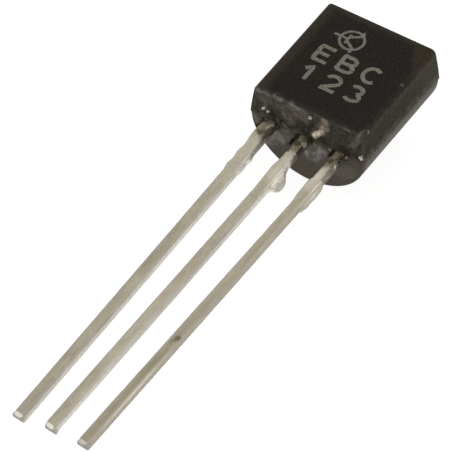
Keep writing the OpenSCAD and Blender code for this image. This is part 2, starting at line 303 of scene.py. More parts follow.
# Resin crept over the roots: a thin film, and gum on the right side
ragged = maths("MULTIPLY_ADD", blots, 4.0, -2.0)
depth = maths("MULTIPLY_ADD", ragged, 0.16, tin_z)
film = between(depth, -0.81, -0.75)
tin_colour = coat(times(film, 0.95), tin_tones["film"])
crept = between(maths("MULTIPLY_ADD", ragged, 0.2, flank), 0.72, 0.86)
film_end = maths("ADD", depth, on_lead("film"))
filmed = times(crept, between(film_end, -0.06, 0.06))
tin_colour = coat(times(filmed, on_lead("film_depth")), tin_tones["side film"])
gum_end = maths("ADD", depth, on_lead("gum"))
gummed = times(crept, between(gum_end, -0.03, 0.03))
gum_depth = maths("MULTIPLY_ADD", ragged, 0.09, through)
gum_colour = between(gum_depth, -0.13, -0.09)
gum_colour = swap(gum_colour, tin_tones["gum"], tin_tones["gum edge"])
tin_colour = coat(gummed, gum_colour)
# Single marks with ragged edges at the roots, and soft smudges further down
wander = speckle(tin_place, (7, 7, 7), 4, 0.7, (2, 6, 3)).node.outputs["Color"]
inputs = {0: wander, 1: (0.5, 0.5, 0.5)}
wander = add(tin_tree, "ShaderNodeVectorMath", inputs, operation="SUBTRACT")
inputs = {0: wander, 1: (0.45, 0, 0.45), 2: tin_place}
bent_place = add(tin_tree, "ShaderNodeVectorMath", inputs, operation="MULTIPLY_ADD")
for colour, marks in root_marks.items():
    for x, z, reach_x, reach_z in marks:
        mark = near(bent_place, (x, front_d, z), (reach_x, 0.3, reach_z))
        mark = times(mark, maths("ADD", ragged, 1.0))
        mark = between(mark, 0.3, 0.5)
        tin_colour = coat(mark, colour)
        gummed = times(gummed, maths("SUBTRACT", 1.0, mark))
for colour, marks in smudges.items():
    for x, z, reach_x, reach_z, strength in marks:
        smudge = near(tin_place, (x, front_d, z), (reach_x, 0.1, reach_z))
        tin_colour = coat(times(smudge, strength), colour)
# The torn tab, and gum on the left side of the roots
on_tab = near(bent_place, tab_place, tab_reach)
tin_colour = coat(between(on_tab, 0.1, 0.5, 0, 0.65), tin_tones["tab"])
left_gum = between(maths("MULTIPLY_ADD", ragged, 0.35, flank), -0.6, -0.85)
left_gum = times(left_gum, between(depth, -0.45, -0.35))
gum_colour = between(grit, 0.35, 0.65)
gum_colour = swap(gum_colour, tin_tones["left gum"], tin_tones["left gum grit"])
tin_colour = coat(left_gum, gum_colour)
gummed = maths("MAXIMUM", gummed, left_gum)
torn_rim = near(tin_place, rim_place, rim_reach)
gummed = maths("MAXIMUM", gummed, between(torn_rim, 0.1, 0.5, 0, 0.6))
# The cut ends are worn clean in one spot, under a darker burr
worn_tip = near(in_section, worn_place, worn_reach)
worn_tip = times(worn_tip, maths("MULTIPLY_ADD", ragged, 0.6, 1.0))
clean = maths("SUBTRACT", 1.0, on_lead("dirt"))
cut = times(between(worn_tip, 0.1, 0.7), clean)
cut = swap(cut, tin_tones["cut"], tin_tones["clean cut"])
tin_colour = coat(on_lead("cap"), cut)
burr = between(on_lead("tip"), 0.72, 0.9, 0, 0.7)
tin_colour = coat(times(burr, between(flank, 0.74, 0.84)), tin_tones["burr"])
tin_height = maths("MULTIPLY_ADD", grit, 0.3, streaks)
set_shader(
    tin_shader, Base_Color=tin_colour, Specular_Tint=grey(0.35),
    Metallic=maths("SUBTRACT", 1.0, gummed), Specular_IOR_Level=0.1,
    Normal=relief(tin_height, 0.006),
    Roughness=between(clouds, 0.3, 0.7, 0.36, 0.52),
)


def piece(name, mesh, node=None):
    """Puts a finished mesh in the scene, on the part's only body."""
    thing = bpy.data.objects.new(name, mesh)
    bpy.context.scene.collection.objects.link(thing)
    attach(thing, "root")
    if node:
        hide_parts(node)


def tree_with(name, sockets):
    """A Geometry Nodes tree with named inputs, given as name: socket type."""
    tree = bpy.data.node_groups.new(name, "GeometryNodeTree")
    tree.interface.new_socket("Geometry", in_out="INPUT", socket_type="NodeSocketGeometry")
    for label, kind in sockets.items():
        tree.interface.new_socket(label, in_out="INPUT", socket_type="NodeSocket" + kind)
    tree.interface.new_socket("Geometry", in_out="OUTPUT", socket_type="NodeSocketGeometry")
    return tree, tree.nodes.new("NodeGroupInput").outputs


def carried(tree, name, kind="FLOAT"):
    """Reads what the points of a mesh carry, in a Geometry Nodes tree."""
    return add(tree, "GeometryNodeInputNamedAttribute", {"Name": name}, data_type=kind)


def end_tree(tree, geometry, material):
    """Closes a tree with Realize Instances and Set Material."""
    real = add(tree, "GeometryNodeRealizeInstances", {"Geometry": geometry})
    done = add(tree, "GeometryNodeSetMaterial", {"Geometry": real, "Material": material})
    tree.links.new(done, tree.nodes.new("NodeGroupOutput").inputs[0])


def grown(source, tree, values):
    """Runs a Geometry Nodes tree on a mesh and gives the plain mesh that it makes, laid down."""
    seed = bpy.data.objects.new("seed", source)
    bpy.context.scene.collection.objects.link(seed)
    modifier = seed.modifiers.new("grow", "NODES")
    modifier.node_group = tree
    for item in tree.interface.items_tree:
        if item.in_out == "INPUT" and item.name in values:
            modifier[item.identifier] = values[item.name]
    seed.update_tag()
    deps = bpy.context.evaluated_depsgraph_get()
    mesh = bpy.data.meshes.new_from_object(seed.evaluated_get(deps), depsgraph=deps)
    seed.modifiers.clear()
    bpy.data.objects.remove(seed)
    mesh.transform(laid)
    return mesh


def carry(mesh, **values):
    """Gives each point of a mesh one number under each name."""
    for name, numbers in values.items():
        attribute = mesh.attributes.new(name, "FLOAT", "POINT")
        attribute.data.foreach_set("value", np.asarray(numbers, dtype=np.float32))


sweep, sweep_in = tree_with("tinned_lead", {
    "Width": "Float", "Thickness": "Float", "Edge radius": "Float", "Front depth": "Float",
    "Tip slant": "Float", "Tip skew": "Float", "Lump height": "Float", "Finish": "Material",
})
width, thickness, radius = (sweep_in[name] for name in ("Width", "Thickness", "Edge radius"))
# A rectangle with rounded edges runs down the line, and its points remember their place in it
inputs = {"Width": width, "Height": thickness}
section = add(sweep, "GeometryNodeCurvePrimitiveQuadrilateral", inputs)
inputs = {"Curve": section, "Radius": radius, "Count": edge_points}
section = add(sweep, "GeometryNodeFilletCurve", inputs, mode="POLY")
section = add(sweep, "GeometryNodeResampleCurve", {"Curve": section, "Count": section_points})
inputs = {"Geometry": section, "Name": "section", "Value": add(sweep, "GeometryNodeInputPosition")}
section = add(sweep, "GeometryNodeStoreNamedAttribute", inputs, data_type="FLOAT_VECTOR")
line = add(sweep, "GeometryNodeMeshToCurve", {"Mesh": sweep_in["Geometry"]})
inputs = {"Curve": line, "Profile Curve": section, "Fill Caps": True}
skin = add(sweep, "GeometryNodeCurveToMesh", inputs)
# Each point moves out to the lead's own sides, and the tip slants and skews
across, through, _ = parts_of(carried(sweep, "section", "FLOAT_VECTOR"))
shrink = maths("SUBTRACT", 1.0, carried(sweep, "inset"))
across, through = times(across, shrink), times(through, shrink)
half_w, half_t = times(width, 0.5), times(thickness, 0.5)
flank = maths("DIVIDE", across, half_w)
inputs = {"Geometry": skin, "Name": "flank", "Value": flank}
skin = add(sweep, "GeometryNodeStoreNamedAttribute", inputs, data_type="FLOAT")
torn = between(through, times(thickness, -0.3), times(thickness, 0.2))
left, right = (
    add(sweep, "ShaderNodeMix", {0: torn, 2: carried(sweep, side), 3: carried(sweep, side + "_torn")})
    for side in ("left", "right")
)
spread = maths("SUBTRACT", times(maths("SUBTRACT", right, left), 0.5), half_w)
share = maths("DIVIDE", across, maths("SUBTRACT", half_w, radius))
share = maths("MAXIMUM", maths("MINIMUM", share, 1.0), -1.0)
middle = times(maths("ADD", left, right), 0.5)
new_x = maths("ADD", maths("MULTIPLY_ADD", share, spread, across), middle)
new_y = maths("ADD", maths("ADD", through, half_t), sweep_in["Front depth"])
slant = times(maths("SUBTRACT", half_t, through), maths("TANGENT", sweep_in["Tip slant"]))
skew = times(across, maths("TANGENT", sweep_in["Tip skew"]))
lift = maths("SUBTRACT", slant, skew)
new_z = maths("MULTIPLY_ADD", lift, carried(sweep, "tip"), carried(sweep, "along"))
new_place = add(sweep, "ShaderNodeCombineXYZ", {0: new_x, 1: new_y, 2: new_z})
skin = add(sweep, "GeometryNodeSetPosition", {"Geometry": skin, "Position": new_place})
# The tin is a little lumpy, and only the cut end is shaded flat
inputs = {0: add(sweep, "GeometryNodeInputPosition"), 1: lump_waves}
waves = add(sweep, "ShaderNodeVectorMath", inputs, operation="MULTIPLY")
lumps = add(sweep, "ShaderNodeTexNoise", {"Vector": waves, "Scale": 1.0, "Detail": 1.0})
inward = times(maths("SUBTRACT", lumps, 1.0), sweep_in["Lump height"])
inputs = {0: add(sweep, "GeometryNodeInputNormal"), "Scale": inward}
push = add(sweep, "ShaderNodeVectorMath", inputs, operation="SCALE")
skin = add(sweep, "GeometryNodeSetPosition", {"Geometry": skin, "Offset": push})
corners = add(sweep, "GeometryNodeInputMeshFaceNeighbors")
wall = add(sweep, "FunctionNodeCompare", {2: corners, 3: 5}, operation="LESS_THAN", data_type="INT")
skin = add(sweep, "GeometryNodeSetShadeSmooth", {"Geometry": skin, "Shade Smooth": wall})
inputs = {"Geometry": skin, "Name": "cap", "Value": maths("SUBTRACT", 1.0, wall)}
skin = add(sweep, "GeometryNodeStoreNamedAttribute", inputs, data_type="FLOAT", domain="FACE")
end_tree(sweep, skin, sweep_in["Finish"])


def lead_path(node):
    """A line of points down a lead of the frame; each carries where the lead's sides are there.

    The sides are looked for twice, near the front of the sheet and near its torn back."""
    lead, solid = leads[node], frame["nodes"][node].data
    far_aside, far_below = 9, -99
    to_drawing = laid.inverted()
    points = [to_drawing @ v.co for v in solid.vertices]
    bvh = BVHTree.FromPolygons(points, [p.vertices for p in solid.polygons])
    top, bottom = max(p.z for p in points), min(p.z for p in points)

    def sides(depth, z):
        return [
            bvh.ray_cast(Vector((start, depth, z)), Vector((way, 0, 0)))[0].x
            for start, way in ((-far_aside, 1), (far_aside, -1))
        ]

    clear = bottom + flare_h + 0.02
    middle_x = sum(sides(front_d + edge_r, clear)) / 2
    tip_z = bvh.ray_cast(Vector((middle_x, back_face - 0.002, far_below)), Vector((0, 0, 1)))[0].z
    tip_z += lead["wear"]
    levels = [*np.arange(top, dambar_end, -fine_step), *np.arange(dambar_end, clear, -plain_step)]
    levels += [*np.arange(clear, tip_z + tip_edge, -fine_step)]
    insets = [0] * len(levels) + [inset for _, inset in tip_rounding]
    levels += [tip_z + tip_edge * rise for rise, _ in tip_rounding]
    rows = []
    for z in levels:
        look = min(max(z, clear), top - 0.001)
        left, right = sides(front_d + edge_r, look)
        left_torn, right_torn = sides(back_face - edge_r, look)
        drawn_out = min(max((tip_z + flare_h - z) / flare_h, 0), 1)
        left_torn -= lead["flares"][0] * drawn_out
        right_torn += lead["flares"][1] * drawn_out
        tip = min(max(1 - (z - tip_z) / tip_run, 0), 1)
        rows.append((z, left, right, left_torn, right_torn, tip))
    along, left, right, left_torn, right_torn, tip = zip(*rows)
    mesh = bpy.data.meshes.new(node + "_path")
    line = [((a + b) / 2, 0, z) for a, b, z in zip(left, right, along)]
    mesh.from_pydata(line, [(i, i + 1) for i in range(len(line) - 1)], [])
    carry(
        mesh, along=along, left=left, right=right, left_torn=left_torn, right_torn=right_torn,
        tip=tip, inset=insets, shine=np.interp(along, *zip(*lead["shine"])),
        **{name: [lead[name]] * len(line) for name in ("dirt", "gum", "film", "film_depth")},
    )
    return mesh


for node in leads:
    mesh = grown(lead_path(node), sweep, {
        "Width": lead_w, "Thickness": sheet_t, "Edge radius": edge_r, "Front depth": front_d,
        "Tip slant": tip_slant, "Tip skew": tip_skew, "Lump height": tin_lumps, "Finish": tin,
    })
    piece("tinned_" + node, mesh, node)

# ---- Die attach, die and bond wires ----
# Sealed in the case: a silver-filled cement on the collector's paddle, a sawn silicon die
# and two gold wires. The frame's own solids carry them.


def inner_finish(name, colour, second, metallic, roughness, waves):
    """A finish for a sealed piece: two tones of one colour in a fine pattern."""
    material, tree, shader = finish_of(name)
    fleck = speckle(drawn(tree), (waves, waves, waves), 4, 0.6)
    set_shader(
        shader, Base_Color=swap(between(fleck, 0.35, 0.65), colour, second),
        Metallic=metallic, Roughness=roughness, Normal=relief(fleck, 0.0006),
    )
    return material


gold = inner_finish("gold_wire", (0.85, 0.58, 0.2, 1), (0.9, 0.66, 0.27, 1), 1.0, 0.25, 90)
inner_finishes = {
    "silicon_die": inner_finish("sawn_silicon", grey(0.12, -0.06), grey(0.16, -0.08), 0.6, 0.22, 14),
    "die_attach": inner_finish("silver_cement", grey(0.4, 0.03), grey(0.55, 0.02), 0.7, 0.5, 60),
    "bond_wire_emitter": gold,
    "bond_wire_base": gold,
}
for node, material in inner_finishes.items():
    frame["nodes"][node].data.materials.clear()
    frame["nodes"][node].data.materials.append(material)

# ---- The moulded case ----
# Black epoxy, transfer-moulded in two halves that meet at the front faces of the leads. The
# back half stands in by a small step. The lead end is rough: the resin gate broke off it, and
# it has smears, two glossy blisters and shrunken rings round the leads. The rings are darkened
# with painted shadow of the leads, the blisters' lighter swirls are painted highlights, and a
# dark patch beside the gate is painted shadow.
case_w = 4.34
case_d = 3.2
flat_w = 4.0
corner_r = 0.19
front_draft = math.radians(2.5)
back_draft = math.radians(1)
part_step = 0.02
rim_r = 0.045
parting_r = 0.09
back_r = case_w / 2 - part_step
back_y = case_d - back_r
front_drop = front_d * math.tan(front_draft)
side_lean = math.atan((case_w - flat_w) / 2 / front_d)
flat_half = flat_w / 2 - corner_r / math.tan((math.pi / 2 + side_lean) / 2)
step_run = 0.006
parting_reach = 0.3
columns = 150
corner_rows = 11
rim_rows = 6
wall_rows = 64
grid_step = 0.03
weld = 0.0004


def half_plan():
    """The plan from the flat to the crown, as x, y, outward normal, and 1 behind the parting line."""
    rows = []
    for a in np.linspace(0, math.pi / 2 - side_lean, corner_rows):
        x, y = flat_half + corner_r * math.sin(a), corner_r * (1 - math.cos(a))
        rows.append((x, y, math.sin(a), -math.cos(a), 0))
    for t in np.linspace(0, 1, round((front_d - y) / grid_step) + 1)[1:]:
        wall_x, wall_y = x + (case_w / 2 - x) * t, y + (front_d - y) * t
        rows.append((wall_x, wall_y, math.cos(side_lean), -math.sin(side_lean), 0))
    start = math.asin((front_d + step_run - back_y) / back_r)
    turn = math.pi / 2 - start
    for a in np.linspace(start, math.pi / 2, round(turn * back_r / grid_step) + 1):
        x, y = back_r * math.cos(a), back_y + back_r * math.sin(a)
        rows.append((x, y, math.cos(a), math.sin(a), 1))
    return np.array(rows)


def end_height(y, behind):
    """Height of the lead end over the drawing's zero."""
    back = part_step - front_drop + (y - front_d) * math.tan(back_draft)
    return np.where(behind > 0, back, -y * math.tan(front_draft))


# The outline runs along the flat from left to right, round the back and up the left side.
plan = half_plan()
row_count = len(plan)
flat_line = np.zeros((columns + 1, 5))
flat_line[:, 0] = np.linspace(-flat_half, flat_half, columns + 1)
flat_line[:, 3] = -1
outline = np.concatenate([flat_line, plan[1:], plan[-2:0:-1] * (-1, 1, -1, 1, 1)])
ring_size = len(outline)
edge_x, edge_y, normal_x, normal_y, behind = outline.T
at_parting = np.exp(-(((edge_y - front_d) / parting_reach) ** 2))
edge_radius = rim_r + (parting_r - rim_r) * at_parting
rings = []
for a in np.linspace(0, math.pi / 2, rim_rows):
    inset = edge_radius * (1 - math.sin(a))
    rise = edge_radius * (1 - math.cos(a))
    height = end_height(edge_y, behind) + rise
    rings.append(np.stack([edge_x - normal_x * inset, edge_y - normal_y * inset, height], 1))
low_rim = rings[-1]
for t in np.linspace(0, 1, wall_rows + 1)[1:-1]:
    ring = low_rim.copy()
    ring[:, 2] = low_rim[:, 2] + (case_h - 2 * low_rim[:, 2]) * t
    rings.append(ring)
for low_ring in rings[rim_rows - 1 :: -1]:
    rings.append(low_ring * (1, 1, -1) + (0, 0, case_h))
wall = np.array(rings)


def end_cap(ring):
    """Fills an end with rows from side to side, one for each row of the half plan."""
    grid = np.empty((row_count, columns + 1, 3))
    grid[0] = ring[: columns + 1]
    share = np.linspace(0, 1, columns + 1)[:, None]
    for j in range(1, row_count):
        right_point, left_point = ring[columns + j], ring[-j]
        if j == row_count - 1:
            left_point = right_point
        grid[j] = left_point + (right_point - left_point) * share
    return grid


def quads(ids):
    """The four-cornered faces between neighbouring points of a grid."""
    corners = [ids[:-1, :-1], ids[:-1, 1:], ids[1:, 1:], ids[1:, :-1]]
    return np.stack(corners, -1).reshape(-1, 4)


lead_end, far_end = end_cap(wall[0]), end_cap(wall[-1])
points = np.concatenate([wall.reshape(-1, 3), lead_end.reshape(-1, 3), far_end.reshape(-1, 3)])
wall_ids = np.arange(len(wall) * ring_size).reshape(len(wall), ring_size)
end_ids = wall_ids.size + np.arange(row_count * (columns + 1)).reshape(row_count, -1)
faces = [quads(np.c_[wall_ids, wall_ids[:, 0]]), quads(end_ids)[:, ::-1]]
faces = np.concatenate(faces + [quads(end_ids + end_ids.size)])

# Marks of the lead end, each a stroke of places with a half width and a strength
cream_strokes = (
    ((0.27, 0.97), (0.34, 0.87), (0.45, 0.70), 0.078, 1),
    ((0.46, 0.68), (0.60, 0.42), 0.05, 0.5),
)
tan_strokes = (
    ((0.46, 0.70), (0.66, 0.34), (0.60, 0.02), 0.13, 1),
    ((0.30, 0.70), (0.44, 0.40), 0.1, 0.3),
)
pale_strokes = (
    ((-1.92, 0.10), (-1.80, 0.14), 0.07, 1.9),
    ((-1.62, 0.06), (-1.46, 0.10), 0.08, 0.7),
    ((-1.22, 0.05), (-0.98, 0.08), 0.07, 1.5),
    ((-0.62, 0.08), (-0.36, 0.12), 0.08, 1.3),
    ((-0.20, 0.12), (-0.06, 0.16), 0.08, 0.6),
    ((1.36, 0.04), (1.50, 0.06), 0.06, 0.7),
    ((-0.97, 0.58), (-0.63, 0.75), 0.05, 0.8),
    ((-0.54, 0.04), (-0.38, 0.48), 0.06, 0.6),
    ((-0.28, 0.07), (-0.12, 0.34), 0.06, 0.5),
    ((-0.89, 1.08), (-0.78, 1.16), 0.06, 0.7),
    ((-1.73, 0.46), (-1.54, 0.67), 0.04, 0.5),
    ((-1.14, 0.98), (-1.07, 1.10), 0.04, 0.7),
    ((-0.86, 0.34), (-0.72, 0.62), (-0.66, 0.85), 0.17, 0.35),
    ((-0.42, 0.26), (-0.1, 0.42), 0.2, 0.45),
    ((-1.7, 0.3), (-0.3, 0.4), 0.3, 0.22),
    ((-1.9, 0.02), (1.9, 0.02), 0.06, 0.3),
    ((-1.60, 0.42), (-1.56, 0.58), 0.07, 0.5),
    ((1.90, 0.14), (1.80, 0.40), (1.68, 0.66), 0.11, 0.55),
    ((-1.95, 1.38), (-1.82, 1.55), 0.13, 0.6),
    ((1.25, 2.15), (1.6, 1.9), 0.25, 0.35),
    ((2.03, 0.05), (2.06, 0.50), (2.12, 1.1), 0.05, 0.45),
)
# Darker patches of the lead end, pressed in a little; one is painted shadow beside the broken gate
shade_strokes = (
    ((-1.38, 0.85), (-1.05, 1.02), (-0.8, 1.05), 0.14, 1),
    ((-1.35, 0.60), (-1.20, 1.10), 0.10, 0.9),
    ((-0.85, 0.87), (-0.95, 1.14), 0.06, 1),
    ((-0.66, 1.07), (-0.30, 0.84), 0.09, 0.9),
    ((-0.87, 0.28), (-0.68, 0.46), 0.06, 0.8),
    ((-1.91, 0.57), (-1.86, 1.05), 0.06, 0.7),
    ((-1.20, 0.62), (-1.12, 0.78), 0.08, 0.6),
    ((-0.28, 0.66), (-0.05, 0.95), 0.17, 0.9),
    # painted shadow beside the broken gate
    ((-0.05, 0.85), (0.12, 0.70), (0.22, 0.50), 0.13, 0.9),
    ((0.52, 0.98), (0.75, 1.12), 0.14, 0.7),
    ((1.30, 0.98), (1.55, 1.12), 0.15, 0.9),
    ((1.80, 0.95), (1.92, 1.12), 0.08, 0.8),
)
# Grooves round the lead roots, darkened with painted shadow of the leads
moat_strokes = (
    ((-1.62, 1.24), (-1.80, 1.58), (-1.94, 1.86), 0.024, 0.8),
    ((-1.07, 1.30), (-1.12, 1.50), 0.04, 0.35),
    ((-0.33, 1.26), (-0.50, 1.60), (-0.68, 1.92), 0.055, 1.2),
    ((0.17, 1.16), (0.15, 1.32), 0.045, 0.6),
    ((0.98, 1.24), (0.90, 1.42), (0.80, 1.64), 0.055, 1.2),
    ((1.47, 1.20), (1.42, 1.40), 0.045, 0.5),
)
blister_strokes = (
    ((-1.50, 2.08), (-1.12, 1.82), 0.30, 1),
    ((-1.10, 1.80), (-0.74, 1.52), 0.27, 0.5),
    ((-1.92, 1.30), (-1.84, 1.52), 0.12, 0.6),
    ((0.14, 1.86), (0.42, 1.62), 0.34, 0.9),
)
scuff_strokes = (
    ((1.90, 0.06), (2.02, 0.03), 0.05, 0.6),
    ((-0.02, 0.96), (-0.08, 0.86), 0.015, 0.5),
)
worn_spots = (
    # place, reach and colour
    ((1.90, 0.02, 2.53), (0.09, 0.2, 0.09), grey(0.11, 0.08)),
    ((2.01, 0.15, 0.35), (0.09, 0.12, 0.08), grey(0.14, 0.02)),
    ((1.90, 0.0, 0.08), (0.06, 0.1, 0.08), grey(0.12, 0.03)),
    ((1.93, 0.01, 0.17), (0.06, 0.1, 0.09), grey(0.10, 0.03)),
    ((1.95, 0.02, 0.26), (0.06, 0.1, 0.08), grey(0.08, 0.03)),
)
gate_h = 0.08
blister_h = 0.035
moat_depth = 0.13
cast_h = 0.011
grain_h = 0.005
mark_h = 0.012
resin_tones = {
    # the darker and the lighter tone of each area
    "flat": (grey(0.007, 0.08), grey(0.026, 0.09)),
    "wall": (grey(0.007, 0.2), grey(0.020, 0.2)),
    "brown wall": (grey(0.012, 0.22), grey(0.031, 0.2)),
    "back": (grey(0.052, 0.09), grey(0.085, 0.09)),
    "right end": (grey(0.014, 0.14), grey(0.034, 0.15)),
    "left end": (grey(0.020, 0.14), grey(0.060, 0.15)),
    "back end": (grey(0.038, 0.13), grey(0.066, 0.12)),
    # the blister's lighter tone is a painted highlight of its gloss
    "blister": ((0.078, 0.069, 0.064, 1), (0.185, 0.169, 0.160, 1)),
}
mark_tones = {
    "mottle": grey(0.024, 0.15), "halo": grey(0.038, 0.17), "high wall": grey(0.040, 0.18),
    "end grain": grey(0.080, 0.14), "end brown": (0.074, 0.056, 0.042, 1),
    "shade": grey(0.011, 0.14), "pale": grey(0.150, 0.10), "rubbed": grey(0.034, 0.16),
    "tan": (0.21, 0.175, 0.13, 1), "cream": (0.78, 0.71, 0.56, 1),
    "scuff": grey(0.22, 0.05), "moat": grey(0.020, 0.15),
}


def smooth(value, low, high):
    """0 below low, 1 above high, and a soft step between."""
    t = np.clip((value - low) / (high - low), 0, 1)
    return t * t * (3 - 2 * t)


def rough(where, scale, seed, octaves=4):
    """Fractal noise, about -1..1, at each point."""
    shift = Vector((seed * 7.3, seed * 3.1, seed * 5.7))
    return np.array([noise.fractal(Vector(p) * scale + shift, 0.9, 2.1, octaves) for p in where])


def brushed(strokes, x, y, softness=1.0):
    """How strongly a set of strokes marks each place, with soft sides."""
    total = 0 * x
    for *places, half, strength in strokes:
        far = np.full(len(x), np.inf)
        for (ax, ay), (bx, by) in zip(places, places[1:]):
            t = ((x - ax) * (bx - ax) + (y - ay) * (by - ay)) / ((bx - ax) ** 2 + (by - ay) ** 2)
            t = np.clip(t, 0, 1)
            far = np.minimum(far, np.hypot(x - ax - t * (bx - ax), y - ay - t * (by - ay)))
        total = np.maximum(total, strength * smooth(half * (1 + softness / 2) - far, 0, half * softness))
    return total


# The lead end is pushed in and out by the waves of the mould, its smears and its marks
x, y, z = points.T
on_end = np.zeros(len(points))
on_end[end_ids.ravel()] = 1
cast = rough(points, 3.2, 1)
fine = rough(points, 10, 2, 3)
swirls = rough(np.stack([x + 0.25 * cast, y + 0.25 * cast, z], 1), 3.2, 3, 3)
bent_x, bent_y = x + 0.05 * cast + 0.02 * fine, y + 0.05 * swirls + 0.02 * fine
cream = brushed(cream_strokes, bent_x + 0.05 * fine, bent_y + 0.05 * fine, 1.2)
tan = brushed(tan_strokes, bent_x + 0.04 * fine, bent_y, 1.3)
pale = brushed(pale_strokes, bent_x, bent_y)
shade = brushed(shade_strokes, bent_x, bent_y, 1.6)
moat = brushed(moat_strokes, x + 0.06 * fine, y + 0.06 * swirls, 1.2)
blister = brushed(blister_strokes, bent_x, bent_y, 1.5)
scuff = brushed(scuff_strokes, x + 0.01 * fine, y)
front_half = smooth(front_d - y, 0.0, 0.2)
gate_rise = gate_h * np.clip(0.35 + 0.6 * (y / front_d), 0, 1)
out = cast_h * cast * (0.35 + 0.65 * front_half) + grain_h * fine * (0.35 + front_half)
out = out + mark_h * np.minimum(pale, 1) * (1 + swirls) + tan * gate_rise * (0.55 + 0.2 * fine)
out = out + cream * gate_rise * (0.6 + 0.3 * swirls) - mark_h * shade
out = out + blister_h * blister * (0.8 + 0.5 * swirls) - moat_depth * np.minimum(moat, 1)
to_wall = np.where(y < front_d, flat_w / 2 - np.abs(x) + 0.1, back_r - np.hypot(x, y - back_y))
inside = smooth(np.minimum(y, to_wall), 0.02, 0.12)
points[:, 2] -= on_end * out * inside
to_end = np.minimum(z - end_height(y, y > front_d), case_h - end_height(y, y > front_d) - z)
near_rim = np.exp(-np.clip(to_end, 0, 9) / 0.06) * (z < 1)
corner_line = np.exp(-((np.hypot(np.abs(x) - flat_w / 2 + 0.05, y) / 0.12) ** 2))
end_share = np.maximum(on_end, near_rim)

case_mesh = bpy.data.meshes.new("moulded_case")
case_mesh.from_pydata(points.tolist(), [], faces.tolist())
carry(
    case_mesh, lead_end=on_end, corner_line=corner_line, swirls=swirls, cream=on_end * cream,
    tan=on_end * tan, pale=end_share * pale, shade=on_end * shade, moat=on_end * moat,
    blister=on_end * blister, scuff=end_share * scuff,
)
work = bmesh.new()
work.from_mesh(case_mesh)
bmesh.ops.remove_doubles(work, verts=work.verts, dist=weld)
bmesh.ops.recalc_face_normals(work, faces=work.faces)
for face in work.faces:
    face.smooth = True
work.to_mesh(case_mesh)
work.free()
case_mesh.transform(laid)

resin, resin_tree, resin_shader = finish_of("black_epoxy")
resin_place = drawn(resin_tree)
resin_x, resin_y, resin_z = parts_of(resin_place)
filler = speckle(resin_place, (22, 22, 22), 4, 0.7)
mottle = speckle(resin_place, (1.7, 1.7, 1.7), 4, 0.6, (2, 5, 1))
lumpy = speckle(resin_place, (6, 6, 6), 5, 0.7, (5, 3, 2), 0.3)


def marked(name):
    """Reads a number that the case's points carry."""
    return add(resin_tree, "ShaderNodeAttribute", output="Fac", attribute_name=name)


def two_tone(area, pattern, low, high):
    """The darker and the lighter tone of an area, in a pattern."""
    return swap(between(pattern, low, high), *resin_tones[area])


def cover(amount, colour):
    """Lays a colour over the resin's colour."""
    return swap(amount, resin_colour, colour)


def patchy(name, low=0.3, high=0.55, least=0.4):
    """A mark of the lead end, broken up by the lumps of the resin."""
    return times(marked(name), between(lumpy, low, high, least, 1))


# The flat, with a lighter halo inside its left and far edges
grain = speckle(resin_place, (13, 13, 13), 3, 0.75, (4, 1, 7))
resin_colour = two_tone("flat", grain, 0.3, 0.7)
resin_colour = cover(between(mottle, 0.45, 0.7, 0, 0.5), mark_tones["mottle"])
margin = maths("MINIMUM", maths("ADD", resin_x, flat_half), maths("SUBTRACT", case_h, resin_z))
margin = maths("MULTIPLY_ADD", mottle, 0.35, margin)
halo = times(between(margin, 0.55, 0.2), between(resin_y, 0.3, 0.1), between(grain, 0.3, 0.6, 0.4, 1))
resin_colour = cover(halo, mark_tones["halo"])
# The walls: brown near the flat, plain further back, and paler behind the parting line
wavering = maths("MULTIPLY_ADD", lumpy, 0.3, maths("ABSOLUTE", resin_x))
upper = times(between(resin_z, 2.8, 4.2, 0, 0.5), between(resin_x, 0, 1))
on_wall = between(maths("ADD", wavering, upper), flat_half + 0.14, flat_half + 0.34)
on_wall = maths("MAXIMUM", on_wall, between(resin_y, 0.1, 0.4))
blotched = maths("MULTIPLY_ADD", mottle, 0.9, resin_y)
wall_brown = two_tone("brown wall", lumpy, 0.38, 0.62)
wall_plain = two_tone("wall", lumpy, 0.38, 0.62)
wall_colour = swap(between(blotched, 0.6, 0.95), wall_brown, wall_plain)
wall_colour = swap(between(resin_z, 2.4, 4.2, 0, 0.5), wall_colour, mark_tones["high wall"])
wavering = maths("MULTIPLY_ADD", lumpy, 0.5, resin_y)
behind_line = between(wavering, front_d - 0.1, front_d + 0.3)
wall_colour = swap(behind_line, wall_colour, two_tone("back", lumpy, 0.35, 0.65))
resin_colour = cover(on_wall, wall_colour)
for place, reach, colour in worn_spots:
    resin_colour = cover(times(near(resin_place, place, reach), 0.9), colour)
# The lead end, and over it the marks that its points carry
end_right = two_tone("right end", lumpy, 0.38, 0.62)
end_left = two_tone("left end", lumpy, 0.38, 0.62)
end_front = swap(between(resin_x, 0.7, -0.3), end_right, end_left)
end_front = swap(between(grain, 0.45, 0.65, 0, 0.55), end_front, mark_tones["end grain"])
end_back = two_tone("back end", grain, 0.36, 0.64)
end_back = swap(between(mottle, 0.5, 0.62, 0, 0.7), end_back, mark_tones["end brown"])
end_colour = swap(between(resin_y, 1.1, 1.35), end_front, end_back)
resin_colour = cover(marked("lead_end"), end_colour)
# Darker patches, one of them painted shadow beside the broken gate
resin_colour = cover(times(patchy("shade"), 0.9), mark_tones["shade"])
resin_colour = cover(times(patchy("pale"), 0.8), mark_tones["pale"])
